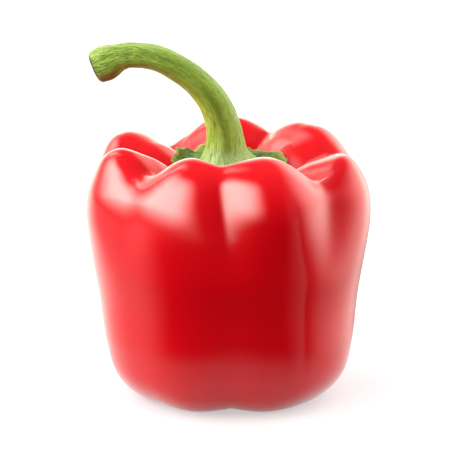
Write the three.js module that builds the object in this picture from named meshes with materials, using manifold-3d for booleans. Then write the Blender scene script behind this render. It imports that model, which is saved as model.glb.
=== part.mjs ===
// A lobed bell pepper with its calyx and bent stem. Millimetres, +Z up, standing on its base.
import * as THREE from 'three';
import { mergeVertices } from 'three/addons/utils/BufferGeometryUtils.js';
import Module from 'manifold-3d';

const wasm = await Module();
wasm.setup();

// Driving dimensions.
const fitGap = 0.4; // clear space between neighbouring pieces
const baseTrim = 0.4; // the fruit settles this far, which leaves flat pads under its lobes

// Half outline of the fruit before creasing, from the base dip over the side to the pit: radius, height.
const fruitOutline = [
  [0, 4.2], [6, 3.5], [14, 1], [22, 0], [29.5, 1.6], [35.6, 8],
  [38.2, 18], [39.8, 32], [42, 46], [43, 58.5], [41.2, 68.5], [35.5, 76.8],
  [27.5, 80], [20.5, 76.5], [15, 72.2], [8, 70.6], [0, 71],
];
const fruitRings = 40;
const fruitColumns = 72;

// Places along the outline, 0 at the base dip and 1 at the pit, where crease and shoulder sizes are given.
const stations = [0, 0.09, 0.2, 0.48, 0.66, 0.8, 0.9, 1];

// Creases run from the pit to the base. Each has its angle at the crest in degrees about +Z from +X,
// how far it leans towards the base, and its depths at the base dip's edge, base, middle, upper side,
// crest and pit wall. The last one is a broad hollow in the crest of a low lobe.
const creases = [
  { angle: 266, lean: 6, reach: 28, softness: 2, depths: [3, 1.6, 1.2, 4.8, 2.4, 2] },
  { angle: 221, lean: 4, reach: 25, softness: 3, depths: [1, 0.5, 0.3, 2.4, 7.5, 4] },
  { angle: 327, lean: -11, reach: 33, softness: 3, depths: [1, 0.2, 0.8, 4.8, 9.8, 5] },
  { angle: 179, lean: 0, reach: 21, softness: 3, depths: [3, 1.2, 0.5, 2, 7, 5] },
  { angle: 124.5, lean: 0, reach: 26, softness: 3, depths: [1, 0.6, 0.8, 3, 9.2, 5] },
  { angle: 64, lean: 0, reach: 21, softness: 2, depths: [4, 3, 1.8, 2.2, 4.4, 3] },
  { angle: 5, lean: 0, reach: 26, softness: 3, depths: [2, 0.8, 0.4, 2, 6.5, 5] },
  { angle: 151, lean: 0, reach: 40, softness: 12, depths: [0, 0, 0, 0.5, 1.7, 1] },
];
const leanFrom = 0.5; // a crease leans fully up to this place along the outline
const leanTo = 0.8; // and not at all beyond this one
const creaseSpread = [0.85, 0.9, 1.25, 1.25, 1, 1]; // a crease is wider on the side than at the ends
const creaseBlunting = [1.6, 1.8, 2.2, 1.8, 1.6, 1.6]; // and rounder
const easing = 0.05; // the direction of the creases is evened out over this much of the outline

// Shoulders that stand out beyond the turned outline, by these radial amounts at the same places.
const shoulders = [
  { angle: 196, width: 20, swell: [0, 0, 0.3, 1.8, 5.6, 2.6] },
  { angle: 158, width: 24, swell: [0, 0, 0, 1.8, 6.6, 3] },
  { angle: 346, width: 22, swell: [0, 0, 0.3, 2.6, 6.8, 3.2] },
  { angle: 36, width: 26, swell: [0, 0, 0, 0.8, 2.8, 1.4] },
  { angle: 308, width: 20, swell: [0, 1.2, 0.6, 0, 0, 0] },
  { angle: 352, width: 36, swell: [-0.6, 0.7, 0.2, 0, 0, 0] },
  { angle: 293, width: 19, swell: [0, 0, 0.4, 2.4, 0.6, 0] },
];

const calyxThickness = 1.5;
const calyxReach = 15.6; // along the pit's floor, to the bottom of the notches between the teeth
const toothLength = 2.8;
const toothCount = 7;
const firstTooth = 168; // angle of one tooth in degrees
const calyxColumns = 63;
const calyxRings = 8;

// Centre line of the stem from the calyx to the cut end, with its radius at each point.
const stemRoute = [
  { point: [-0.8, 0, 72.8], radius: 8.6 },
  { point: [-0.7, 0, 74.9], radius: 7 },
  { point: [-0.7, 0, 78.5], radius: 5.8 },
  { point: [-1.5, 0, 83.4], radius: 5.2 },
  { point: [-4.6, -0.4, 91.1], radius: 4.6 },
  { point: [-11.4, -0.9, 98.5], radius: 4.15 },
  { point: [-20.6, -1.2, 103.9], radius: 3.85 },
  { point: [-28.2, -1.1, 105.1], radius: 3.7 },
  { point: [-32.4, -0.8, 104.5], radius: 4.05 },
  { point: [-36.6, -0.5, 102.7], radius: 5.3 },
  { point: [-39.9, -0.4, 101.2], radius: 4.6 },
];
const stemSides = 20;
const stemSteps = 30;
const stemRibs = 5;
const stemRibHeight = 0.25;

const skinRed = 0xc8101c;
const calyxGreen = 0x4f7a35;
const stemGreen = 0x86a13c;

const outlineCurve = new THREE.SplineCurve(fruitOutline.map(([r, z]) => new THREE.Vector2(r, z)));
outlineCurve.arcLengthDivisions = 1000;

// Smooth value at place s, from values given at the inner stations; the ends are handled by the caller.
function alongOutline(s, values, first, last) {
  const all = [first, ...values, last];
  let value = first;
  for (let i = 1; i < stations.length; i++) {
    const step = THREE.MathUtils.smoothstep(s, stations[i - 1], stations[i]);
    value += (all[i] - all[i - 1]) * step;
  }
  return value;
}

// Signed angle in degrees from a crease or shoulder line, between -180 and 180.
function turnFrom(angle, line) {
  return THREE.MathUtils.euclideanModulo(angle - line + 180, 360) - 180;
}

// How far the creases push the skin inward at place s and angle.
function creaseDepth(s, angle) {
  const leaning = 1 - THREE.MathUtils.smoothstep(s, leanFrom, leanTo);
  let depth = 0;
  for (const crease of creases) {
    const turn = turnFrom(angle, crease.angle + crease.lean * leaning);
    const blunt = crease.softness * alongOutline(s, creaseBlunting, creaseBlunting[0], 1);
    const reach = crease.reach * alongOutline(s, creaseSpread, creaseSpread[0], 1);
    const offset = Math.hypot(turn, blunt) - blunt;
    const shape = Math.max(0, 1 - offset / reach) ** 2;
    depth += shape * alongOutline(s, crease.depths, 0, 0);
  }
  return depth;
}

// How far the shoulders stand out at place s and angle.
function shoulderSwell(s, angle) {
  let swell = 0;
  for (const shoulder of shoulders) {
    const turn = turnFrom(angle, shoulder.angle) / shoulder.width;
    swell += alongOutline(s, shoulder.swell, 0, 0) * Math.exp(-turn * turn);
  }
  return swell;
}

// Direction of the outline near place s, evened out so that deep creases don't fold at the crest.
function evenedTangent(s) {
  const way = new THREE.Vector2();
  for (const step of [-1, -0.5, 0, 0.5, 1]) {
    way.add(outlineCurve.getTangentAt(THREE.MathUtils.clamp(s + easing * step, 0, 1)));
  }
  return way.normalize();
}

// A point at a place along the outline turned to an angle, lifted off it along its normal and
// swelled outward.
function turnedPoint(s, angle, lift, swell = 0) {
  const along = THREE.MathUtils.clamp(s, 0, 1);
  const point = outlineCurve.getPointAt(along);
  const tangent = evenedTangent(along);
  const onAxis = along === 0 || along === 1;
  const radius = onAxis ? 0 : Math.max(0, point.x + tangent.y * lift + swell);
  const turn = THREE.MathUtils.degToRad(angle);
  const height = point.y - tangent.x * lift - baseTrim;
  return new THREE.Vector3(radius * Math.cos(turn), radius * Math.sin(turn), height);
}

function skinPoint(s, angle) {
  return turnedPoint(s, angle, -creaseDepth(s, angle), shoulderSwell(s, angle));
}

// Turns a lathe about +Z and moves each of its points by a rule of its place and its angle in degrees.
function shapedLathe(outline, columns, place) {
  const geometry = new THREE.LatheGeometry(outline, columns);
  const positions = geometry.attributes.position;
  for (let i = 0; i < positions.count; i++) {
    const ring = i % outline.length;
    const column = Math.floor(i / outline.length) % columns;
    const point = place(ring, (360 * column) / columns);
    positions.setXYZ(i, point.x, point.y, point.z);
  }
  return closed(geometry);
}

function closed(geometry) {
  geometry.deleteAttribute('normal');
  geometry.deleteAttribute('uv');
  return mergeVertices(geometry, 1e-4);
}

function toSolid(geometry) {
  return new wasm.Manifold(new wasm.Mesh({
    numProp: 3,
    vertProperties: new Float32Array(geometry.attributes.position.array),
    triVerts: new Uint32Array(geometry.index.array),
  }));
}

function toGeometry(solid) {
  const mesh = solid.getMesh();
  const geometry = new THREE.BufferGeometry();
  geometry.setAttribute('position', new THREE.BufferAttribute(mesh.vertProperties, 3));
  geometry.setIndex(new THREE.BufferAttribute(mesh.triVerts, 1));
  geometry.computeVertexNormals();
  return geometry;
}

function namedMesh(name, geometry, color, roughness) {
  geometry.computeVertexNormals();
  const material = new THREE.MeshStandardMaterial({ color, roughness, metalness: 0 });
  const mesh = new THREE.Mesh(geometry, material);
  mesh.name = name;
  return mesh;
}

function makeFruit() {
  const outline = outlineCurve.getSpacedPoints(fruitRings);
  const skin = shapedLathe(outline, fruitColumns, (ring, angle) => skinPoint(ring / fruitRings, angle));
  const ground = closed(new THREE.BoxGeometry(120, 120, 10).translate(0, 0, -5));
  const fruit = toSolid(skin).subtract(toSolid(ground));
  return namedMesh('fruit', toGeometry(fruit), skinRed, 0.2);
}

// The leafy cap lies over the pit's floor, bridging the creases, and its teeth climb the pit's wall.
function makeCalyx() {
  const pitLength = outlineCurve.getLength();
  const edgePlace = (angle) => {
    const wave = 0.5 + 0.5 * Math.cos(THREE.MathUtils.degToRad(toothCount * (angle - firstTooth)));
    return 1 - (calyxReach + toothLength * wave ** 2) / pitLength;
  };
  const outline = [];
  for (let ring = 0; ring < 2 * calyxRings; ring++) {
    const inner = ring === 0 || ring === 2 * calyxRings - 1;
    outline.push(new THREE.Vector2(inner ? 0 : 10, ring));
  }
  const cap = shapedLathe(outline, calyxColumns, (ring, angle) => {
    const under = ring < calyxRings;
    const step = (under ? ring : 2 * calyxRings - 1 - ring) / (calyxRings - 1);
    const s = 1 - step * (1 - edgePlace(angle));
    return turnedPoint(s, angle, under ? fitGap : fitGap + calyxThickness);
  });
  return namedMesh('calyx', cap, calyxGreen, 0.6);
}

// The stem swells into a foot on the calyx and into a knob before its cut end, with low ribs along it.
function makeStem() {
  const route = new THREE.CatmullRomCurve3(stemRoute.map(({ point }) => new THREE.Vector3(...point)));
  const girth = new THREE.SplineCurve(
    stemRoute.map(({ radius }, i) => new THREE.Vector2(i / (stemRoute.length - 1), radius)),
  );
  const geometry = new THREE.CylinderGeometry(1, 1, 1, stemSides, stemSteps);
  const positions = geometry.attributes.position;
  const corner = new THREE.Vector3();
  for (let i = 0; i < positions.count; i++) {
    corner.fromBufferAttribute(positions, i);
    const along = corner.y + 0.5;
    const turn = Math.atan2(corner.x, corner.z);
    const ribbed = girth.getPoint(along).y + stemRibHeight * Math.cos(stemRibs * turn);
    const radius = ribbed * Math.hypot(corner.x, corner.z);
    const tangent = route.getTangent(along);
    const back = new THREE.Vector3(0, -1, 0);
    const side = new THREE.Vector3().crossVectors(tangent, back).normalize();
    back.crossVectors(side, tangent);
    const point = route.getPoint(along);
    point.addScaledVector(side, radius * Math.sin(turn));
    point.addScaledVector(back, radius * Math.cos(turn));
    positions.setXYZ(i, point.x, point.y, point.z);
  }
  return namedMesh('stem', closed(geometry), stemGreen, 0.5);
}

const pepper = new THREE.Group();
pepper.add(makeFruit(), makeCalyx(), makeStem());

// The origin is under the middle of the whole pepper, on the surface that it stands on.
const extent = new THREE.Box3().setFromObject(pepper, true);
const middle = extent.getCenter(new THREE.Vector3());
pepper.position.set(-middle.x, -middle.y, 0);
pepper.updateMatrixWorld(true);

export default pepper;
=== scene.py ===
import math

import bpy
from mathutils import Matrix, Vector


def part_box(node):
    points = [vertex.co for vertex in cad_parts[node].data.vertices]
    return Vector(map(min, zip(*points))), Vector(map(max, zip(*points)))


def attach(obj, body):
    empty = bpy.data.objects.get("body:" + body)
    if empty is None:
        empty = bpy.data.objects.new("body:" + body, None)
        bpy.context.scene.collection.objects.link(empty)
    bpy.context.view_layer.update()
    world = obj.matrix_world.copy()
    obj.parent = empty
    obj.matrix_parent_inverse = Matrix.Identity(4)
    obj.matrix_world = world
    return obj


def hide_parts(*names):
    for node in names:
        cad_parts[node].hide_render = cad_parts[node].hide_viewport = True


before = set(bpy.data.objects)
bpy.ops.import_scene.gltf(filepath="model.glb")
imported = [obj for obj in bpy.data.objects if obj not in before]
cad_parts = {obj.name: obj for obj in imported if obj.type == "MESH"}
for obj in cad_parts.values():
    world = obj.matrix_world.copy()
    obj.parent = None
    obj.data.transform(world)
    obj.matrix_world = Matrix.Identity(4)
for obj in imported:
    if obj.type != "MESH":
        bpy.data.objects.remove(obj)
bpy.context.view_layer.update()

mm = 0.001
# how finely the curves are drawn between two of their points, and how close a seam is closed
curveSteps = 64
seamWidth = 0.01 * mm
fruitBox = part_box("fruit")

# A value given to the helpers below is a number, a tuple or another node's output.


def giveInput(tree, socket, value):
    if isinstance(value, bpy.types.NodeSocket):
        tree.links.new(value, socket)
    else:
        socket.default_value = value


def addNode(tree, kind, inputs=None, **settings):
    node = tree.nodes.new(kind)
    for name, value in settings.items():
        setattr(node, name, value)
    for name, value in (inputs or {}).items():
        giveInput(tree, node.inputs[name], value)
    return node


def calc(tree, operation, *values):
    node = addNode(tree, "ShaderNodeMath", operation=operation)
    for socket, value in zip(node.inputs, values):
        giveInput(tree, socket, value)
    return node.outputs[0]


def plus(tree, *values):
    result = values[0]
    for value in values[1:]:
        result = calc(tree, "ADD", result, value)
    return result


def times(tree, *values):
    result = values[0]
    for value in values[1:]:
        result = calc(tree, "MULTIPLY", result, value)
    return result


def minus(tree, first, second):
    return calc(tree, "SUBTRACT", first, second)


def over(tree, first, second):
    return calc(tree, "DIVIDE", first, second)


def keepWithin(tree, value, low, high):
    return calc(tree, "MINIMUM", calc(tree, "MAXIMUM", value, low), high)


# A bell that is 1 high at 0 and almost gone at 2.
def bell(tree, value):
    return calc(tree, "EXPONENT", times(tree, value, value, -1))


# Goes softly from one result to the other while the value goes from low to high.
def ease(tree, value, low, high, toLow=0.0, toHigh=1.0):
    node = addNode(tree, "ShaderNodeMapRange", interpolation_type="SMOOTHSTEP")
    names = ("Value", "From Min", "From Max", "To Min", "To Max")
    for name, given in zip(names, (value, low, high, toLow, toHigh)):
        giveInput(tree, node.inputs[name], given)
    return node.outputs[0]


def calcVector(tree, operation, *values):
    node = addNode(tree, "ShaderNodeVectorMath", operation=operation)
    for socket, value in zip(node.inputs, values):
        giveInput(tree, socket, value)
    return node.outputs[0]


def scaleVector(tree, vector, factor):
    node = addNode(tree, "ShaderNodeVectorMath", {"Vector": vector, "Scale": factor}, operation="SCALE")
    return node.outputs[0]


def joinXyz(tree, x, y, z):
    return addNode(tree, "ShaderNodeCombineXYZ", {"X": x, "Y": y, "Z": z}).outputs[0]


def splitXyz(tree, vector):
    return addNode(tree, "ShaderNodeSeparateXYZ", {"Vector": vector}).outputs


def cloud(tree, vector, scale, detail=2.0, rough=0.5, stretch=None):
    if stretch:
        vector = addNode(tree, "ShaderNodeMapping", {"Vector": vector, "Scale": stretch}).outputs[0]
    facts = {"Vector": vector, "Scale": scale, "Detail": detail, "Roughness": rough}
    return addNode(tree, "ShaderNodeTexNoise", facts).outputs[0]


def newTree(name, inputs, outputs):
    tree = bpy.data.node_groups.new(name, "GeometryNodeTree")
    for label, kind in inputs.items():
        tree.interface.new_socket(name=label, in_out="INPUT", socket_type="NodeSocket" + kind)
    for label, kind in outputs.items():
        tree.interface.new_socket(name=label, in_out="OUTPUT", socket_type="NodeSocket" + kind)
    return tree, tree.nodes.new("NodeGroupInput").outputs, tree.nodes.new("NodeGroupOutput").inputs


# Runs a tree on a line of points and returns its result as a plain mesh object at the origin.
# The tree's inputs take the sizes that bear their names.
def growPiece(name, points, tree, sizes, pointValues=None):
    line = bpy.data.meshes.new(name + "Line")
    line.from_pydata(points, [(i, i + 1) for i in range(len(points) - 1)], [])
    for label, values in (pointValues or {}).items():
        line.attributes.new(label, "FLOAT", "POINT").data.foreach_set("value", values)
    grower = bpy.data.objects.new(name + "Grower", line)
    bpy.context.collection.objects.link(grower)
    modifier = grower.modifiers.new("grow", "NODES")
    modifier.node_group = tree
    for item in tree.interface.items_tree:
        if item.in_out == "INPUT" and item.name in sizes:
            modifier[item.identifier] = sizes[item.name]
    bpy.context.view_layer.update()
    evaluated = grower.evaluated_get(bpy.context.evaluated_depsgraph_get())
    mesh = bpy.data.meshes.new_from_object(evaluated)
    mesh.name = name
    grower.modifiers.remove(modifier)
    bpy.data.objects.remove(grower)
    piece = bpy.data.objects.new(name, mesh)
    bpy.context.collection.objects.link(piece)
    return piece


# The open line of points becomes a smooth curve through them.
def smoothCurve(tree, geometry, steps):
    curve = addNode(tree, "GeometryNodeMeshToCurve", {"Mesh": geometry}).outputs[0]
    kind = addNode(tree, "GeometryNodeCurveSplineType", {"Curve": curve}, spline_type="CATMULL_ROM")
    node = addNode(tree, "GeometryNodeSetSplineResolution", {"Resolution": steps})
    giveInput(tree, node.inputs[0], kind.outputs[0])
    return node.outputs[0]


# A unit sheet of quads whose fields run from 0 to 1 across and along.
def unitSheet(tree, across, along):
    counts = {"Vertices X": plus(tree, across, 1), "Vertices Y": plus(tree, along, 1)}
    sheet = addNode(tree, "GeometryNodeMeshGrid", {"Size X": 1.0, "Size Y": 1.0, **counts})
    place = splitXyz(tree, addNode(tree, "GeometryNodeInputPosition").outputs[0])
    return sheet.outputs["Mesh"], plus(tree, place[0], 0.5), plus(tree, place[1], 0.5)


# The point at a radius and a height, on the side of the axis that east and north give.
def ringPoint(tree, radius, east, north, height):
    return joinXyz(tree, times(tree, radius, east), times(tree, radius, north), height)


def storeValue(tree, geometry, name, value, kind="FLOAT"):
    node = addNode(
        tree, "GeometryNodeStoreNamedAttribute", {"Geometry": geometry, "Name": name},
        data_type=kind, domain="POINT",
    )
    giveInput(tree, node.inputs["Value"], value)
    return node.outputs[0]


def moveTo(tree, geometry, position):
    facts = {"Geometry": geometry, "Position": position}
    return addNode(tree, "GeometryNodeSetPosition", facts).outputs[0]


# Turns the faces round, where the sheet was bent so that they point inwards.
def flipFaces(tree, geometry):
    return addNode(tree, "GeometryNodeFlipFaces", {"Mesh": geometry}).outputs[0]


# Closes the sheet's seam, smooths it and gives it its material.
def finishTree(tree, geometry, result, material):
    seam = {"Geometry": geometry, "Distance": seamWidth}
    merged = addNode(tree, "GeometryNodeMergeByDistance", seam).outputs[0]
    smooth = addNode(tree, "GeometryNodeSetShadeSmooth", {"Geometry": merged}).outputs[0]
    real = addNode(tree, "GeometryNodeRealizeInstances", {"Geometry": smooth}).outputs[0]
    painted = addNode(tree, "GeometryNodeSetMaterial", {"Geometry": real, "Material": material})
    giveInput(tree, result[0], painted.outputs[0])


def newMaterial(name, kind="ShaderNodeBsdfPrincipled"):
    material = bpy.data.materials.new(name)
    material.use_nodes = True
    tree = material.node_tree
    tree.nodes.clear()
    shader = tree.nodes.new(kind)
    output = tree.nodes.new("ShaderNodeOutputMaterial")
    tree.links.new(shader.outputs[0], output.inputs[0])
    return material, tree, shader.inputs


def objectPoint(tree):
    return addNode(tree, "ShaderNodeTexCoord").outputs["Object"]


def blendColors(tree, factor, first, second):
    node = addNode(tree, "ShaderNodeMix", data_type="RGBA")
    giveInput(tree, node.inputs[0], factor)
    giveInput(tree, node.inputs[6], first)
    giveInput(tree, node.inputs[7], second)
    return node.outputs[2]


def surfaceValue(tree, name):
    return addNode(tree, "ShaderNodeAttribute", attribute_name=name).outputs["Fac"]


def addBump(tree, shader, height, distance, strength):
    facts = {"Height": height, "Distance": distance, "Strength": strength}
    tree.links.new(addNode(tree, "ShaderNodeBump", facts).outputs[0], shader["Normal"])


# Every tint and gloss below is the pair of measures between which it changes, then its amounts there.
# Every noise is its scale and detail, then its roughness and stretch where these matter.
fruitValues = {
    "columns": 320,
    "rings": 220,
    "restTrim": 0.4 * mm,
    "ripple": 0.25 * mm,
    "rippleNoise": (38, 1),
    # half outline from the base dip over the side to the pit: radius and height in mm
    "outline": [
        (0, 4.2), (6, 3.5), (14, 1), (22, 0), (29.5, 1.6), (35.6, 8), (38.2, 18), (39.8, 32), (42, 46),
        (43, 58.5), (41.2, 68.5), (35.5, 76.8), (27.5, 80), (20.5, 76.5), (15, 72.2), (8, 70.6), (0, 71),
    ],
    # how far along the outline the direction of the creases is evened out, and in which steps
    "easing": 0.05,
    "easingSteps": (-1, -0.5, 0.5, 1),
    # places along the outline, 0 at the base dip and 1 at the pit
    "stations": [0, 0.09, 0.2, 0.48, 0.66, 0.8, 0.9, 1],
    # creases: angle at the crest, lean towards the base, reach and softness in degrees,
    # then depths in mm at the inner stations; the last one is the broad hollow of a low lobe
    "creases": [
        (266, 6, 28, 2, (3, 1.6, 1.2, 4.8, 2.4, 2)),
        (221, 4, 25, 3, (1, 0.5, 0.3, 2.4, 7.5, 4)),
        (327, -11, 33, 3, (1, 0.2, 0.8, 4.8, 9.8, 5)),
        (179, 0, 21, 3, (3, 1.2, 0.5, 2, 7, 5)),
        (124.5, 0, 26, 3, (1, 0.6, 0.8, 3, 9.2, 5)),
        (64, 0, 21, 2, (4, 3, 1.8, 2.2, 4.4, 3)),
        (5, 0, 26, 3, (2, 0.8, 0.4, 2, 6.5, 5)),
        (151, 0, 40, 12, (0, 0, 0, 0.5, 1.7, 1)),
    ],
    # places between which the lean dies out
    "leanFrom": 0.5,
    "leanTo": 0.8,
    # what reach and softness are multiplied by at the inner stations
    "creaseSpread": (0.85, 0.9, 1.25, 1.25, 1, 1),
    "creaseBlunting": (1.6, 1.8, 2.2, 1.8, 1.6, 1.6),
    # shoulders that swell out: angle and width in degrees, then radial swells in mm at the
    # inner stations
    "shoulders": [
        (196, 20, (0, 0, 0.3, 1.8, 5.6, 2.6)),
        (158, 24, (0, 0, 0, 1.8, 6.6, 3)),
        (346, 22, (0, 0, 0.3, 2.6, 6.8, 3.2)),
        (36, 26, (0, 0, 0, 0.8, 2.8, 1.4)),
        (308, 20, (0, 1.2, 0.6, 0, 0, 0)),
        (352, 36, (-0.6, 0.7, 0.2, 0, 0, 0)),
        (293, 19, (0, 0, 0.4, 2.4, 0.6, 0)),
    ],
    "ripe": (0.74, 0.0006, 0.006, 1),
    # the darker red of the painted shade in the creases and towards the base
    "deep": (0.46, 0.0003, 0.005, 1),
    "bright": (0.84, 0.002, 0.006, 1),
    # rim: the pale colour of a painted sheen where the skin turns away from the view
    "rim": (0.95, 0.55, 0.45, 1),
    "patchNoise": (28, 2),
    "patchTint": (0.35, 0.7, 0, 0.5),
    # painted shade: the skin darkens with the depth of the creases
    "creaseTint": (0.8 * mm, 7 * mm, 0, 0.6),
    # painted shade: the skin darkens towards the base
    "lowerTint": (0.5, 0.2, 0, 0.3),
    # painted sheen where the skin turns away from the view, weaker below the upper lobes
    "rimTint": (0.42, 1, 0, 0.8),
    "rimPlace": (0.5, 0.66, 0.35, 1),
    "creaseGloss": (5.5 * mm, 8 * mm, 0.16, 0.5),
    "index": 1.5,
    "bloom": 0.5,
    "bloomSpread": 0.3,
    "waveNoise": (60, 2),
    "grainNoise": (1500, 2),
    "grainShare": 0.02,
    "bumpHeight": 0.25 * mm,
    "bumpStrength": 0.35,
}


def makeSkinMaterial():
    look = fruitValues
    material, tree, shader = newMaterial("pepperSkin")
    point = objectPoint(tree)
    creaseDepth = surfaceValue(tree, "creaseDepth")
    place = surfaceValue(tree, "place")
    patches = ease(tree, cloud(tree, point, *look["patchNoise"]), *look["patchTint"])
    color = blendColors(tree, patches, look["ripe"], look["bright"])
    # painted shade in the creases
    color = blendColors(tree, ease(tree, creaseDepth, *look["creaseTint"]), color, look["deep"])
    # painted shade towards the base
    color = blendColors(tree, ease(tree, place, *look["lowerTint"]), color, look["deep"])
    # painted sheen: a pale colour where the skin turns away from the view, strongest on the upper lobes
    facing = addNode(tree, "ShaderNodeLayerWeight", {"Blend": 0.5}).outputs["Facing"]
    rim = times(tree, ease(tree, facing, *look["rimTint"]), ease(tree, place, *look["rimPlace"]))
    color = blendColors(tree, rim, color, look["rim"])
    giveInput(tree, shader["Base Color"], color)
    giveInput(tree, shader["Roughness"], ease(tree, creaseDepth, *look["creaseGloss"]))
    shader["IOR"].default_value = look["index"]
    shader["Sheen Weight"].default_value = look["bloom"]
    shader["Sheen Roughness"].default_value = look["bloomSpread"]
    grain = times(tree, cloud(tree, point, *look["grainNoise"]), look["grainShare"])
    height = plus(tree, cloud(tree, point, *look["waveNoise"]), grain)
    addBump(tree, shader, height, look["bumpHeight"], look["bumpStrength"])
    return material


# A group that eases between values given at the stations along the outline.
def makeStationGroup():
    stations = fruitValues["stations"]
    labels = ["At %.2f" % s for s in stations]
    inputs = {"Place": "Float", **{label: "Float" for label in labels}}
    tree, given, result = newTree("valueAlongOutline", inputs, {"Value": "Float"})
    value = given[labels[0]]
    for i in range(1, len(stations)):
        step = ease(tree, given["Place"], stations[i - 1], stations[i])
        rise = minus(tree, given[labels[i]], given[labels[i - 1]])
        value = plus(tree, times(tree, rise, step), value)
    giveInput(tree, result[0], value)
    return tree


def valueAlong(tree, group, place, values, first, last):
    node = addNode(tree, "GeometryNodeGroup", node_tree=group)
    for socket, value in zip(node.inputs, [place, first, *values, last]):
        giveInput(tree, socket, value)
    return node.outputs[0]


# Signed turn in degrees from a line, between -180 and 180.
def turnFrom(tree, angle, line):
    shifted = plus(tree, minus(tree, angle, line), 180)
    return minus(tree, calc(tree, "FLOORED_MODULO", shifted, 360), 180)


# A group that gives the depth of one crease at an angle, with a rounded bottom.
def makeCreaseGroup():
    labels = ("Angle", "Line", "Reach", "Softness", "Depth")
    tree, given, result = newTree("creaseAcrossSkin", {label: "Float" for label in labels}, {"Push": "Float"})
    turn = turnFrom(tree, given["Angle"], given["Line"])
    blunt = given["Softness"]
    squares = plus(tree, times(tree, turn, turn), times(tree, blunt, blunt))
    offset = minus(tree, calc(tree, "SQRT", squares), blunt)
    shape = calc(tree, "MAXIMUM", minus(tree, 1, over(tree, offset, given["Reach"])), 0)
    giveInput(tree, result[0], times(tree, shape, shape, given["Depth"]))
    return tree


# How far all creases together press the skin in at an angle and a place along the outline.
def creasePush(tree, stationGroup, creaseGroup, angle, place):
    spreads, bluntings = fruitValues["creaseSpread"], fruitValues["creaseBlunting"]
    spread = valueAlong(tree, stationGroup, place, spreads, spreads[0], 1)
    blunting = valueAlong(tree, stationGroup, place, bluntings, bluntings[0], 1)
    leaning = ease(tree, place, fruitValues["leanFrom"], fruitValues["leanTo"], 1.0, 0.0)
    pushes = []
    for line, lean, reach, softness, depths in fruitValues["creases"]:
        values = {
            "Angle": angle,
            "Line": plus(tree, times(tree, leaning, lean), line),
            "Reach": times(tree, spread, reach),
            "Softness": times(tree, blunting, softness),
            "Depth": valueAlong(tree, stationGroup, place, [d * mm for d in depths], 0, 0),
        }
        node = addNode(tree, "GeometryNodeGroup", node_tree=creaseGroup)
        for label, value in values.items():
            giveInput(tree, node.inputs[label], value)
        pushes.append(node.outputs[0])
    return plus(tree, *pushes)


# How far all shoulders together swell the skin out.
def shoulderSwell(tree, stationGroup, angle, place):
    swells = []
    for line, width, amounts in fruitValues["shoulders"]:
        across = bell(tree, over(tree, turnFrom(tree, angle, line), width))
        along = valueAlong(tree, stationGroup, place, [a * mm for a in amounts], 0, 0)
        swells.append(times(tree, across, along))
    return plus(tree, *swells)


def sampleOutline(tree, outline, place):
    facts = {"Curves": outline, "Factor": place}
    return addNode(tree, "GeometryNodeSampleCurve", facts, mode="FACTOR").outputs


def makeFruitTree(material, stationGroup, creaseGroup):
    tree, given, result = newTree(
        "pepperFruit",
        {"guide": "Geometry", "columns": "Int", "rings": "Int", "restTrim": "Float", "ripple": "Float"},
        {"fruit": "Geometry"},
    )
    outline = smoothCurve(tree, given["guide"], curveSteps)
    sheet, across, place = unitSheet(tree, given["columns"], given["rings"])
    angle = times(tree, across, 360)
    sample = sampleOutline(tree, outline, place)
    spot = splitXyz(tree, sample["Position"])
    way = sample["Tangent"]
    for step in fruitValues["easingSteps"]:
        near = plus(tree, place, fruitValues["easing"] * step)
        way = calcVector(tree, "ADD", way, sampleOutline(tree, outline, near)["Tangent"])
    tangent = splitXyz(tree, calcVector(tree, "NORMALIZE", way))
    push = creasePush(tree, stationGroup, creaseGroup, angle, place)
    swell = shoulderSwell(tree, stationGroup, angle, place)

    turn = calc(tree, "RADIANS", angle)
    east = calc(tree, "COSINE", turn)
    north = calc(tree, "SINE", turn)
    plain = ringPoint(tree, spot[0], east, north, spot[2])
    wave = minus(tree, cloud(tree, plain, *fruitValues["rippleNoise"]), 0.5)
    inward = minus(tree, push, times(tree, wave, given["ripple"], 2))
    radius = plus(tree, spot[0], times(tree, tangent[2], inward, -1), swell)
    onAxis = calc(tree, "LESS_THAN", spot[0], seamWidth)
    radius = times(tree, calc(tree, "MAXIMUM", radius, 0), minus(tree, 1, onAxis))
    height = plus(tree, spot[2], times(tree, tangent[0], inward))
    height = calc(tree, "MAXIMUM", minus(tree, height, given["restTrim"]), 0)

    skin = storeValue(tree, sheet, "creaseDepth", push)
    skin = storeValue(tree, skin, "place", place)
    moved = moveTo(tree, skin, ringPoint(tree, radius, east, north, height))
    finishTree(tree, moved, result, material)
    return tree


def outlinePoints():
    return [(r * mm, 0, z * mm) for r, z in fruitValues["outline"]]


def makeFruit():
    tree = makeFruitTree(makeSkinMaterial(), stationGroup, creaseGroup)
    return growPiece("pepperFruit", outlinePoints(), tree, fruitValues)


def meshBox(piece):
    corners = [v.co for v in piece.data.vertices]
    low = Vector([min(c[i] for c in corners) for i in range(3)])
    high = Vector([max(c[i] for c in corners) for i in range(3)])
    return low, high


# Moves a finished piece to its place and hands it over in place of a CAD node.
def handOver(piece, node):
    piece.data.transform(Matrix.Translation(centreShift))
    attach(piece, "root")
    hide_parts(node)
    low, high = meshBox(piece)
    print(node, len(piece.data.polygons), "faces, box in mm", [round(v / mm, 2) for v in (*low, *high)])


stationGroup = makeStationGroup()
creaseGroup = makeCreaseGroup()
fruit = makeFruit()
low, high = meshBox(fruit)
centreShift = (fruitBox[0] + fruitBox[1]) / 2 - (low + high) / 2
centreShift.z = 0
handOver(fruit, "fruit")


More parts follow.
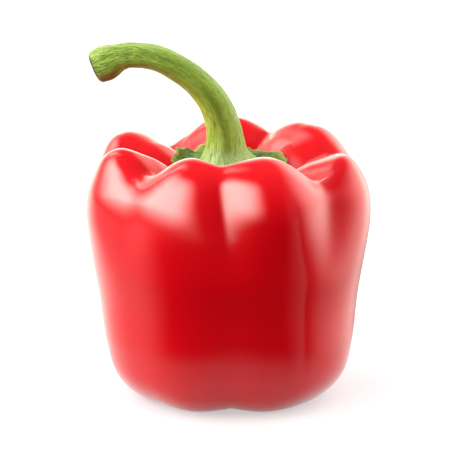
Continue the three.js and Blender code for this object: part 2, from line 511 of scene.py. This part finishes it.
calyxValues = {
    "columns": 360,
    "rings": 96,
    "reach": 15.6 * mm,
    "toothLength": 2.8 * mm,
    "toothCount": 7,
    "firstTooth": 0.23,
    "lift": 0.45 * mm,
    "thickness": 1.3 * mm,
    "collarRadius": 9.4 * mm,
    "collarWidth": 2.2 * mm,
    "collarHeight": 0.9 * mm,
    # the share of the fruit's creases that the leaf follows
    "follow": 0.72,
    "crumple": 1.1 * mm,
    "curl": 0.4 * mm,
    # the side that stands up: its angle and width in degrees
    "upturnAngle": 160,
    "upturnWidth": 38,
    "upturn": 2.3 * mm,
    # the share of the rings that lie on the upper side
    "topShare": 0.6,
    "toothSharpness": 1.2,
    # the shortest tooth, and how much longer the longest one may be
    "toothLow": 0.55,
    "toothLuck": 0.6,
    "swayRadius": 1.3,
    "swayNoise": (1.6, 1),
    "sway": 0.6,
    "raggedNoise": (7, 2),
    "ragged": 0.16,
    "foldNoise": (210, 2),
    "veinSharpness": 7,
    "veinHeight": 0.45,
    "veinStart": (0.3, 0.6),
    # how late the leaf thins, curls and turns up towards its edge
    "edgePower": 5,
    "upturnPower": 3,
    "leaf": (0.12, 0.21, 0.016, 1),
    "dark": (0.025, 0.06, 0.004, 1),
    "vein": (0.19, 0.3, 0.04, 1),
    "edge": (0.36, 0.42, 0.1, 1),
    "blotchNoise": (420, 4, 0.65),
    "blotchTint": (0.4, 0.6),
    "netScale": 620,
    "netTint": (0, 0.1, 0.7, 0),
    "ribTint": 0.7,
    "edgeTint": (0.9, 0.99, 0, 0.8),
    "roughness": 0.5,
    "index": 1.28,
    "grainNoise": (480, 4, 0.6),
    "netHeight": 0.5,
    "bumpHeight": 0.5 * mm,
    "bumpStrength": 0.8,
}


def makeCalyxMaterial():
    look = calyxValues
    material, tree, shader = newMaterial("calyxLeaf")
    point = objectPoint(tree)
    blotches = ease(tree, cloud(tree, point, *look["blotchNoise"]), *look["blotchTint"])
    color = blendColors(tree, blotches, look["dark"], look["leaf"])
    facts = {"Vector": point, "Scale": look["netScale"]}
    net = addNode(tree, "ShaderNodeTexVoronoi", facts, feature="DISTANCE_TO_EDGE")
    lines = ease(tree, net.outputs["Distance"], *look["netTint"])
    rib = times(tree, surfaceValue(tree, "vein"), look["ribTint"])
    color = blendColors(tree, calc(tree, "MAXIMUM", lines, rib), color, look["vein"])
    color = blendColors(tree, ease(tree, surfaceValue(tree, "rim"), *look["edgeTint"]), color, look["edge"])
    giveInput(tree, shader["Base Color"], color)
    shader["Roughness"].default_value = look["roughness"]
    shader["IOR"].default_value = look["index"]
    height = plus(tree, cloud(tree, point, *look["grainNoise"]), times(tree, lines, look["netHeight"]))
    addBump(tree, shader, height, look["bumpHeight"], look["bumpStrength"])
    return material


# The teeth around the leaf: how far each angle is from the nearest tooth's line, from 0 to 1,
# and how long its tooth is.
def calyxTeeth(tree, given, across, spot):
    shape = calyxValues
    sway = times(tree, minus(tree, cloud(tree, spot, *shape["swayNoise"]), 0.5), shape["sway"])
    turns = plus(tree, times(tree, across, given["toothCount"]), given["firstTooth"], sway)
    number = calc(tree, "FLOORED_MODULO", calc(tree, "FLOOR", turns), given["toothCount"])
    away = calc(tree, "ABSOLUTE", minus(tree, times(tree, calc(tree, "FRACT", turns), 2), 1))
    point = calc(tree, "POWER", minus(tree, 1, away), shape["toothSharpness"])
    luck = addNode(tree, "ShaderNodeTexWhiteNoise", {"W": number}, noise_dimensions="1D").outputs["Value"]
    return away, times(tree, point, plus(tree, times(tree, luck, shape["toothLuck"]), shape["toothLow"]))


def makeCalyxTree(material):
    shape = calyxValues
    lengths = (
        "reach", "toothLength", "toothCount", "firstTooth", "lift", "thickness", "collarRadius",
        "collarWidth", "collarHeight", "crumple", "curl", "upturnAngle", "upturnWidth", "upturn",
        "follow", "restTrim",
    )
    tree, given, result = newTree(
        "pepperCalyx",
        {"guide": "Geometry", "columns": "Int", "rings": "Int", **{label: "Float" for label in lengths}},
        {"calyx": "Geometry"},
    )
    outline = smoothCurve(tree, given["guide"], curveSteps)
    sheet, across, along = unitSheet(tree, given["columns"], given["rings"])
    turn = times(tree, across, 2 * math.pi)
    east = calc(tree, "COSINE", turn)
    north = calc(tree, "SINE", turn)
    # the sheet runs out over the upper side and back under the leaf
    onTop = calc(tree, "LESS_THAN", along, shape["topShare"])
    upper = calc(tree, "MINIMUM", over(tree, along, shape["topShare"]), 1)
    lower = calc(tree, "MINIMUM", over(tree, minus(tree, 1, along), 1 - shape["topShare"]), 1)
    share = calc(tree, "SINE", times(tree, calc(tree, "MINIMUM", upper, lower), math.pi / 2))

    spot = ringPoint(tree, shape["swayRadius"], east, north, 0)
    away, tooth = calyxTeeth(tree, given, across, spot)
    ragged = minus(tree, cloud(tree, spot, *shape["raggedNoise"]), 0.5)
    wobble = plus(tree, times(tree, ragged, shape["ragged"]), 1)
    reach = plus(tree, times(tree, tooth, given["toothLength"]), times(tree, given["reach"], wobble))

    total = addNode(tree, "GeometryNodeCurveLength", {"Curve": outline}).outputs[0]
    run = times(tree, share, reach)
    facts = {"Curves": outline, "Length": minus(tree, total, run)}
    sample = addNode(tree, "GeometryNodeSampleCurve", facts, mode="LENGTH").outputs
    base = splitXyz(tree, sample["Position"])
    tangent = splitXyz(tree, sample["Tangent"])

    folds = cloud(tree, ringPoint(tree, base[0], east, north, 0), *shape["foldNoise"])
    crumple = times(tree, folds, given["crumple"], share)
    edge = calc(tree, "POWER", share, shape["edgePower"])
    curled = times(tree, edge, tooth, given["curl"])
    degrees = times(tree, across, 360)
    upturn = bell(tree, over(tree, turnFrom(tree, degrees, given["upturnAngle"]), given["upturnWidth"]))
    turnedUp = times(tree, calc(tree, "POWER", share, shape["upturnPower"]), upturn, given["upturn"])
    place = minus(tree, 1, over(tree, run, total))
    dip = times(tree, creasePush(tree, stationGroup, creaseGroup, degrees, place), given["follow"])
    under = minus(tree, plus(tree, given["lift"], crumple, curled, turnedUp), dip)

    roundness = calc(tree, "SQRT", calc(tree, "MAXIMUM", minus(tree, 1, edge), 0))
    collar = bell(tree, over(tree, minus(tree, run, given["collarRadius"]), given["collarWidth"]))
    vein = calc(tree, "POWER", minus(tree, 1, away), shape["veinSharpness"])
    vein = times(tree, vein, ease(tree, share, *shape["veinStart"]))
    body = times(tree, given["thickness"], plus(tree, times(tree, vein, shape["veinHeight"]), roundness))
    body = times(tree, body, calc(tree, "MINIMUM", times(tree, roundness, 2), 1))
    body = plus(tree, body, times(tree, collar, given["collarHeight"]))
    out = plus(tree, times(tree, body, onTop), under)

    offAxis = calc(tree, "MINIMUM", over(tree, base[0], 1 * mm), 1)
    radius = plus(tree, base[0], times(tree, tangent[2], out, offAxis))
    radius = times(tree, radius, calc(tree, "GREATER_THAN", share, 0.0001))
    height = minus(tree, minus(tree, base[2], times(tree, tangent[0], out)), given["restTrim"])
    leaf = storeValue(tree, sheet, "vein", vein)
    leaf = storeValue(tree, leaf, "rim", share)
    moved = moveTo(tree, leaf, ringPoint(tree, radius, east, north, height))
    finishTree(tree, flipFaces(tree, moved), result, material)
    return tree


def makeCalyx():
    sizes = {**calyxValues, "restTrim": fruitValues["restTrim"]}
    return growPiece("pepperCalyx", outlinePoints(), makeCalyxTree(makeCalyxMaterial()), sizes)


handOver(makeCalyx(), "calyx")


stemValues = {
    "sides": 192,
    "rings": 420,
    # middle line from the foot to the cut end, and half thickness, in mm
    "route": [
        (-0.3, 0, 71.6, 9.5), (-0.5, 0, 74.4, 7), (-0.7, 0, 78.5, 5.8), (-1.5, 0, 83.4, 5.2),
        (-4.6, -0.4, 91.1, 4.6), (-11.4, -0.9, 98.5, 4.15), (-20.6, -1.2, 103.9, 3.85),
        (-28.2, -1.1, 105.1, 3.7), (-32.4, -0.8, 104.5, 4.05), (-36.6, -0.5, 102.7, 5.3),
        (-39.6, -0.4, 101.4, 4.95),
    ],
    "ribs": 5,
    "ribHeight": 0.36 * mm,
    "twist": 0.9,
    "fibres": 0.35 * mm,
    "buttress": 0.5 * mm,
    # the shares of the sheet's length at which the foot's cap ends and the cut end's cap starts
    "footShare": 0.04,
    "tipShare": 0.92,
    # the share of the cut end's cap that is its rounded edge, how far that draws in and stands
    # out, and the hollow in the cut face
    "edgeShare": 0.3,
    "edgeDrawn": 0.14,
    "edgeBulge": 0.75 * mm,
    "cutHollow": 0.9 * mm,
    "hollowEdge": (0.05, 0.5),
    "fibreLength": 14,
    "swayNoise": (0.45, 1),
    "sway": 5,
    "ribSharpness": 0.7,
    "ribMiddle": 0.6,
    "fibreStretch": 1.3,
    "fibreNoise": (7, 2),
    "buttressEnd": 0.12,
    # the dark stripe on the front: its place across, and half width
    "stripeSide": 0.06,
    "stripeWidth": 0.27,
    "stripeStrength": 0.75,
    "stripeFront": (-0.2, 0.3),
    "stripeStart": (0.03, 0.1),
    "stripeEnd": (0.5, 0.3),
    "scorchSide": (0.1, 0.9),
    "scorchStart": (0.86, 0.95),
    # painted sheen along the top of the bend: the side where it shows
    "outerPlace": (0.45, 0.95, 0, 0.6),
    # painted light on the stem's underside: the side where it shows, then where it starts along the stem
    "underPlace": (0.55, 1, 0, 0.75),
    "underStart": (0.1, 0.3, 0.2, 1),
    "fresh": (0.32, 0.5, 0.05, 1),
    "olive": (0.23, 0.37, 0.03, 1),
    "yellow": (0.45, 0.6, 0.09, 1),
    # the colour of the painted light on the underside
    "pale": (0.56, 0.7, 0.08, 1),
    # the colour of the painted sheen along the top of the bend
    "paintedTopSheen": (0.4, 0.54, 0.13, 1),
    "foot": (0.34, 0.46, 0.2, 1),
    "stripe": (0.11, 0.19, 0.002, 1),
    "line": (0.06, 0.11, 0.006, 1),
    "brown": (0.22, 0.16, 0.02, 1),
    "cut": (0.42, 0.42, 0.2, 1),
    "rim": (0.07, 0.06, 0.025, 1),
    "broadNoise": (1.3, 2, 0.5, (1, 1, 0.22)),
    "freshTint": (0.4, 0.62),
    "strandNoise": (11, 4, 0.6, (1, 1, 0.09)),
    "yellowTint": (0.48, 0.72, 0, 0.45),
    "oliveTint": (0.44, 0.3, 0, 0.8),
    "grooveTint": (0.55, 1, 0, 0.4),
    "speckNoise": (800, 3, 0.6),
    "speckTint": (0.54, 0.66, 0, 0.5),
    "footTint": (0.13, 0.04, 0, 0.7),
    "lineNoise": (30, 3, 0.6, (1, 1, 0.07)),
    "lineTint": (0.48, 0.34, 0, 0.75),
    "scorchNoise": (300, 3),
    "scorchTint": (0.3, 0.6, 0.35, 1),
    "cutTint": (0.1, 0.35),
    "rimFrom": (0, 0.12),
    "rimTo": (0.36, 0.2, 0, 0.85),
    "roughness": 0.4,
    "index": 1.3,
    "lineHeight": -0.8,
    "grainNoise": (700, 3),
    "grainShare": 0.3,
    "bumpHeight": 0.4 * mm,
    "bumpStrength": 0.8,
}


def makeStemMaterial():
    look = stemValues
    material, tree, shader = newMaterial("stemSkin")
    fibre = addNode(tree, "ShaderNodeAttribute", attribute_name="fibre").outputs["Vector"]
    point = objectPoint(tree)
    strands = cloud(tree, fibre, *look["strandNoise"])
    lines = ease(tree, cloud(tree, fibre, *look["lineNoise"]), *look["lineTint"])
    scorch = ease(tree, cloud(tree, point, *look["scorchNoise"]), *look["scorchTint"])
    face = surfaceValue(tree, "cutFace")
    # each layer covers the ones before it
    layers = [
        (ease(tree, strands, *look["yellowTint"]), "yellow"),
        (ease(tree, strands, *look["oliveTint"]), "olive"),
        (ease(tree, surfaceValue(tree, "groove"), *look["grooveTint"]), "olive"),
        (ease(tree, cloud(tree, point, *look["speckNoise"]), *look["speckTint"]), "yellow"),
        (ease(tree, surfaceValue(tree, "along"), *look["footTint"]), "foot"),
        (surfaceValue(tree, "stripe"), "stripe"),
        # painted light on the underside
        (surfaceValue(tree, "under"), "pale"),
        # painted sheen along the top of the bend
        (surfaceValue(tree, "paintedTopSheen"), "paintedTopSheen"),
        (lines, "line"),
        (times(tree, surfaceValue(tree, "scorch"), scorch), "brown"),
        (ease(tree, face, *look["cutTint"]), "cut"),
        (times(tree, ease(tree, face, *look["rimFrom"]), ease(tree, face, *look["rimTo"])), "rim"),
    ]
    broad = ease(tree, cloud(tree, fibre, *look["broadNoise"]), *look["freshTint"])
    color = blendColors(tree, broad, look["olive"], look["fresh"])
    for cover, name in layers:
        color = blendColors(tree, cover, color, look[name])
    giveInput(tree, shader["Base Color"], color)
    shader["Roughness"].default_value = look["roughness"]
    shader["IOR"].default_value = look["index"]
    grain = times(tree, cloud(tree, point, *look["grainNoise"]), look["grainShare"])
    height = plus(tree, strands, times(tree, lines, look["lineHeight"]), grain)
    addBump(tree, shader, height, look["bumpHeight"], look["bumpStrength"])
    return material


# Stores on the sheet what the stem's material reads.
def markStem(tree, stem, place, east, north, wave, beyond, fibre):
    shape = stemValues
    west = times(tree, east, -1)
    # painted light on the underside, weaker near the foot
    under = times(tree, ease(tree, west, *shape["underPlace"]), ease(tree, place, *shape["underStart"]))
    across = bell(tree, over(tree, minus(tree, east, shape["stripeSide"]), shape["stripeWidth"]))
    front = ease(tree, north, *shape["stripeFront"])
    stretch = times(tree, ease(tree, place, *shape["stripeStart"]), ease(tree, place, *shape["stripeEnd"]))
    lower = ease(tree, west, *shape["scorchSide"])
    marks = {
        "along": place,
        "groove": minus(tree, 1, wave),
        "cutFace": calc(tree, "MAXIMUM", beyond, 0),
        # painted sheen along the top of the bend
        "paintedTopSheen": ease(tree, east, *shape["outerPlace"]),
        "under": under,
        "stripe": times(tree, across, front, stretch, shape["stripeStrength"]),
        "scorch": times(tree, lower, ease(tree, place, *shape["scorchStart"])),
    }
    for name, value in marks.items():
        stem = storeValue(tree, stem, name, value)
    return storeValue(tree, stem, "fibre", fibre, "FLOAT_VECTOR")


def makeStemTree(material):
    shape = stemValues
    lengths = ("ribs", "ribHeight", "twist", "fibres", "buttress")
    tree, given, result = newTree(
        "pepperStem",
        {"guide": "Geometry", "sides": "Int", "rings": "Int", **{label: "Float" for label in lengths}},
        {"stem": "Geometry"},
    )
    route = smoothCurve(tree, given["guide"], curveSteps // 2)
    sheet, across, along = unitSheet(tree, given["sides"], given["rings"])
    girth = addNode(tree, "GeometryNodeInputNamedAttribute", {"Name": "girth"}, data_type="FLOAT").outputs[0]
    foot, tip = shape["footShare"], shape["tipShare"]
    place = keepWithin(tree, over(tree, minus(tree, along, foot), tip - foot), 0, 1)
    facts = {"Curves": route, "Value": girth, "Factor": place}
    sample = addNode(tree, "GeometryNodeSampleCurve", facts, mode="FACTOR", data_type="FLOAT").outputs
    forward = sample["Tangent"]
    side = calcVector(tree, "CROSS_PRODUCT", forward, (0.0, -1.0, 0.0))
    side = calcVector(tree, "NORMALIZE", side)
    front = calcVector(tree, "CROSS_PRODUCT", side, forward)
    angle = times(tree, across, 2 * math.pi)
    east = calc(tree, "COSINE", angle)
    north = calc(tree, "SINE", angle)

    fibre = joinXyz(tree, east, north, times(tree, place, shape["fibreLength"]))
    sway = times(tree, cloud(tree, fibre, *shape["swayNoise"]), shape["sway"])
    turned = plus(tree, times(tree, angle, given["ribs"]), times(tree, place, given["twist"]), sway)
    wave = plus(tree, times(tree, calc(tree, "COSINE", turned), 0.5), 0.5)
    ridge = minus(tree, calc(tree, "POWER", wave, shape["ribSharpness"]), shape["ribMiddle"])
    narrow = joinXyz(tree, east, north, times(tree, place, shape["fibreStretch"]))
    strands = minus(tree, cloud(tree, narrow, *shape["fibreNoise"]), 0.5)
    flare = times(tree, ease(tree, place, shape["buttressEnd"], 0.0), given["buttress"], ridge, 2)
    body = plus(
        tree, sample[0], times(tree, ridge, given["ribHeight"]), times(tree, strands, given["fibres"]), flare
    )

    # the caps: the foot closes to a point, the cut end rounds over its edge and hollows
    edge = shape["edgeShare"]
    beyond = over(tree, minus(tree, along, tip), 1 - tip)
    rounded = ease(tree, beyond, 0.0, edge)
    inner = keepWithin(tree, over(tree, minus(tree, beyond, edge), 1 - edge), 0, 1)
    drawn = times(tree, rounded, shape["edgeDrawn"])
    scale = minus(tree, minus(tree, 1, drawn), times(tree, inner, 1 - shape["edgeDrawn"]))
    scale = calc(tree, "MINIMUM", scale, over(tree, along, foot))
    radius = times(tree, body, calc(tree, "MAXIMUM", scale, 0))
    bulge = times(tree, rounded, shape["edgeBulge"])
    hollow = times(tree, ease(tree, inner, *shape["hollowEdge"]), shape["cutHollow"])

    sideways = scaleVector(tree, side, times(tree, east, radius))
    frontways = scaleVector(tree, front, times(tree, north, radius))
    position = calcVector(tree, "ADD", sample["Position"], calcVector(tree, "ADD", sideways, frontways))
    position = calcVector(tree, "ADD", position, scaleVector(tree, forward, minus(tree, bulge, hollow)))
    stem = markStem(tree, sheet, place, east, north, wave, beyond, fibre)
    finishTree(tree, flipFaces(tree, moveTo(tree, stem, position)), result, material)
    return tree


def makeStem():
    points = [(x * mm, y * mm, z * mm) for x, y, z, girth in stemValues["route"]]
    girths = [girth * mm for x, y, z, girth in stemValues["route"]]
    tree = makeStemTree(makeStemMaterial())
    return growPiece("pepperStem", points, tree, stemValues, {"girth": girths})


handOver(makeStem(), "stem")


cameraView = {"elevation": 15.0, "distance": 0.9, "aim": (0.61 * mm, 0, 50.34 * mm), "lens": 230.3}
aim = Vector(cameraView["aim"]) + centreShift


# Azimuth 0 is towards the camera and 90 is to its right.
def wayTo(azimuth, elevation):
    turn = math.radians(azimuth)
    rise = math.radians(elevation)
    return Vector((math.sin(turn) * math.cos(rise), -math.cos(turn) * math.cos(rise), math.sin(rise)))


def makeCamera():
    camera = bpy.data.objects.new("camera", bpy.data.cameras.new("camera"))
    bpy.context.collection.objects.link(camera)
    camera.location = aim + cameraView["distance"] * wayTo(0, cameraView["elevation"])
    camera.rotation_euler = (math.radians(90 - cameraView["elevation"]), 0, 0)
    camera.data.lens = cameraView["lens"]
    camera.data.clip_start = 0.01
    bpy.context.scene.camera = camera
    bpy.context.scene.view_settings.view_transform = "Standard"


makeCamera()
print("camera")


def addStageObject(name, points, faces, material):
    mesh = bpy.data.meshes.new(name)
    mesh.from_pydata(points, [], faces)
    mesh.materials.append(material)
    piece = bpy.data.objects.new(name, mesh)
    bpy.context.collection.objects.link(piece)
    return piece


def addSheet(name, west, east, south, north, height, material):
    corners = [(west, south, height), (east, south, height), (east, north, height), (west, north, height)]
    return addStageObject(name, corners, [(0, 1, 2, 3)], material)


floorValues = {
    "half": 4,
    "shade": (0.45, 0.45, 0.45, 1),
    "roughness": 0.9,
    "glow": 0.5,
    "mirroredGlow": 0.4,
    # the disc that the skin mirrors, and the distances from the axis between which it fades
    "discHalf": 0.1,
    "discHeight": 0.2 * mm,
    "discFade": (0.085, 0.045),
    # the dark card in front, and the distances between which it starts
    "cardHalf": 0.5,
    "cardLength": 1.2,
    "cardHeight": 1 * mm,
    "cardFade": (0.036, 0.08),
}


# The paper glows a little, so that it is white to the camera.
def makePaper(name):
    material, tree, shader = newMaterial(name)
    shader["Base Color"].default_value = floorValues["shade"]
    shader["Roughness"].default_value = floorValues["roughness"]
    shader["Specular IOR Level"].default_value = 0.0
    shader["Emission Color"].default_value = (1, 1, 1, 1)
    path = addNode(tree, "ShaderNodeLightPath").outputs
    seen = times(tree, path["Is Camera Ray"], floorValues["glow"])
    mirrored = times(tree, path["Is Glossy Ray"], floorValues["mirroredGlow"])
    giveInput(tree, shader["Emission Strength"], plus(tree, mirrored, seen))
    return material


# Lets a flat material fade by the distance from the upright axis, and be clear from below.
def fadeOut(material, limits):
    tree = material.node_tree
    into = next(node for node in tree.nodes if node.type == "OUTPUT_MATERIAL").inputs[0]
    surface = into.links[0].from_socket
    part = splitXyz(tree, objectPoint(tree))
    squares = plus(tree, times(tree, part[0], part[0]), times(tree, part[1], part[1]))
    above = minus(tree, 1, addNode(tree, "ShaderNodeNewGeometry").outputs["Backfacing"])
    cover = times(tree, ease(tree, calc(tree, "SQRT", squares), *limits), above)
    mixed = addNode(tree, "ShaderNodeMixShader", {"Fac": cover})
    tree.links.new(addNode(tree, "ShaderNodeBsdfTransparent").outputs[0], mixed.inputs[1])
    tree.links.new(surface, mixed.inputs[2])
    tree.links.new(mixed.outputs[0], into)


# The skin mirrors only the disc of the floor around the foot.
def makeFloor():
    half = floorValues["half"]
    floor = addSheet("floor", -half, half, -half, half, 0, makePaper("floorPaper"))
    floor.visible_glossy = False
    paper = makePaper("floorDisc")
    fadeOut(paper, floorValues["discFade"])
    half = floorValues["discHalf"]
    disc = addSheet("floorDisc", -half, half, -half, half, floorValues["discHeight"], paper)
    disc.visible_camera = disc.visible_diffuse = disc.visible_shadow = False


# Takes away the light that the floor in front would throw up at the fruit.
def makeDarkCard():
    material, tree, glow = newMaterial("darkCard", "ShaderNodeEmission")
    glow["Strength"].default_value = 0.0
    fadeOut(material, floorValues["cardFade"])
    half, length = floorValues["cardHalf"], floorValues["cardLength"]
    card = addSheet("darkCard", -half, half, -length, 0, floorValues["cardHeight"], material)
    card.visible_camera = card.visible_shadow = card.visible_glossy = False


makeFloor()
makeDarkCard()
print("floor")


# Each light is the pair of measures between which it changes, then its strengths there.
worldValues = {
    "white": 1.05,
    # the light that falls on the pepper, along y and z
    "fromBack": (-0.7, 0.6, 0.1, 0.85),
    "fromTop": (0.3, 0.9, 0, 0.5),
    # what the skin mirrors: the wall behind along y, the ceiling along z, and below the
    # horizon the ground along x and y, dark between two pairs of azimuths in front
    "mirroredBack": (0.72, 0.97, 0.01, 2.8),
    "mirroredTop": (0.6, 0.95, 0, 0.15),
    "horizon": (-0.08, 0.02),
    "ground": (0.1, 0.8, 0.95, 0.9),
    "groundBack": (0.4, 0.9, 1, 1.7),
    "darkFromLeft": (-92, -50),
    "darkFromRight": (92, 44),
    "warmBack": (0.5, 0.9),
    "warm": (1, 0.86, 0.74, 1),
}


def makeWorld():
    look = worldValues
    world = bpy.data.worlds.new("studio")
    bpy.context.scene.world = world
    world.use_nodes = True
    tree = world.node_tree
    tree.nodes.clear()
    part = splitXyz(tree, addNode(tree, "ShaderNodeTexCoord").outputs["Generated"])
    path = addNode(tree, "ShaderNodeLightPath").outputs
    sky = plus(tree, ease(tree, part[1], *look["mirroredBack"]), ease(tree, part[2], *look["mirroredTop"]))
    turn = calc(tree, "ARCTAN2", part[0], times(tree, part[1], -1))
    azimuth = times(tree, turn, 180 / math.pi)
    dark = ease(tree, azimuth, *look["darkFromLeft"])
    dark = times(tree, dark, ease(tree, azimuth, *look["darkFromRight"]))
    ground = times(tree, ease(tree, part[0], *look["ground"]), minus(tree, 1, dark))
    ground = times(tree, ground, ease(tree, part[1], *look["groundBack"]))
    above = ease(tree, part[2], *look["horizon"])
    mirrored = plus(tree, times(tree, sky, above), times(tree, ground, minus(tree, 1, above)))
    diffuse = plus(tree, ease(tree, part[1], *look["fromBack"]), ease(tree, part[2], *look["fromTop"]))
    glossy = times(tree, path["Is Glossy Ray"], minus(tree, mirrored, diffuse))
    seen = times(tree, path["Is Camera Ray"], minus(tree, look["white"], diffuse))
    warmth = times(tree, path["Is Glossy Ray"], ease(tree, part[1], *look["warmBack"]))
    facts = {
        "Color": blendColors(tree, warmth, (1, 1, 1, 1), look["warm"]),
        "Strength": plus(tree, glossy, seen, diffuse),
    }
    output = tree.nodes.new("ShaderNodeOutputWorld")
    tree.links.new(addNode(tree, "ShaderNodeBackground", facts).outputs[0], output.inputs[0])


# Soft panels that the skin mirrors, by the azimuths and elevations that they cover as the fruit
# sees them; fade is the soft part of each half.
mirroredPanels = [
    {"name": "leftPanel", "from": -126, "to": 7, "low": -3, "high": 66, "strength": 16.5, "fade": 0.74},
    {"name": "rightPanel", "from": 74, "to": 168, "low": -42, "high": 58, "strength": 3.0, "fade": 0.8},
    {"name": "backPanel", "from": -162, "to": -88, "low": 16, "high": 82, "strength": 7.0, "fade": 1.0},
]
# Lamps that light the pepper without showing in its skin.
lamps = [
    {"name": "leftLamp", "from": -132, "to": -30, "low": -10, "high": 60, "strength": 3.2},
    {"name": "rightLamp", "from": 54, "to": 168, "low": -35, "high": 48, "strength": 2.5},
]
panelDistance = 0.9
panelColor = (1, 0.97, 0.89, 1)
panelSteps = 24


# A curved card of soft light, seen only in the skin's mirror.
def makeMirrorPanel(facts):
    material, tree, glow = newMaterial(facts["name"], "ShaderNodeEmission")
    place = splitXyz(tree, addNode(tree, "ShaderNodeTexCoord").outputs["UV"])
    strength = facts["strength"]
    for side in (place[0], place[1]):
        edge = minus(tree, 1, calc(tree, "ABSOLUTE", minus(tree, times(tree, side, 2), 1)))
        strength = times(tree, strength, ease(tree, edge, 0, facts["fade"]))
    glow["Color"].default_value = panelColor
    giveInput(tree, glow["Strength"], strength)

    shares = [(i / panelSteps, j / panelSteps) for j in range(panelSteps + 1) for i in range(panelSteps + 1)]
    points = []
    for across, up in shares:
        azimuth = facts["from"] + (facts["to"] - facts["from"]) * across
        elevation = facts["low"] + (facts["high"] - facts["low"]) * up
        points.append(tuple(aim + wayTo(azimuth, elevation) * panelDistance))
    row = panelSteps + 1
    starts = [j * row + i for j in range(panelSteps) for i in range(panelSteps)]
    faces = [(first, first + 1, first + row + 1, first + row) for first in starts]
    panel = addStageObject(facts["name"], points, faces, material)
    layer = panel.data.uv_layers.new(name="UVMap")
    for loop in panel.data.loops:
        layer.data[loop.index].uv = shares[loop.vertex_index]
    panel.visible_camera = panel.visible_diffuse = panel.visible_shadow = False


def makeLamp(facts):
    way = wayTo((facts["from"] + facts["to"]) / 2, (facts["low"] + facts["high"]) / 2)
    light = bpy.data.lights.new(facts["name"], "AREA")
    light.shape = "RECTANGLE"
    light.size = 2 * panelDistance * math.tan(math.radians((facts["to"] - facts["from"]) / 2))
    light.size_y = 2 * panelDistance * math.tan(math.radians((facts["high"] - facts["low"]) / 2))
    light.energy = facts["strength"] * math.pi * light.size * light.size_y
    lamp = bpy.data.objects.new(facts["name"], light)
    bpy.context.collection.objects.link(lamp)
    lamp.location = aim + way * panelDistance
    lamp.rotation_euler = way.to_track_quat("Z", "Y").to_euler()
    lamp.visible_camera = lamp.visible_glossy = False


makeWorld()
for facts in mirroredPanels:
    makeMirrorPanel(facts)
for facts in lamps:
    makeLamp(facts)
print("light")
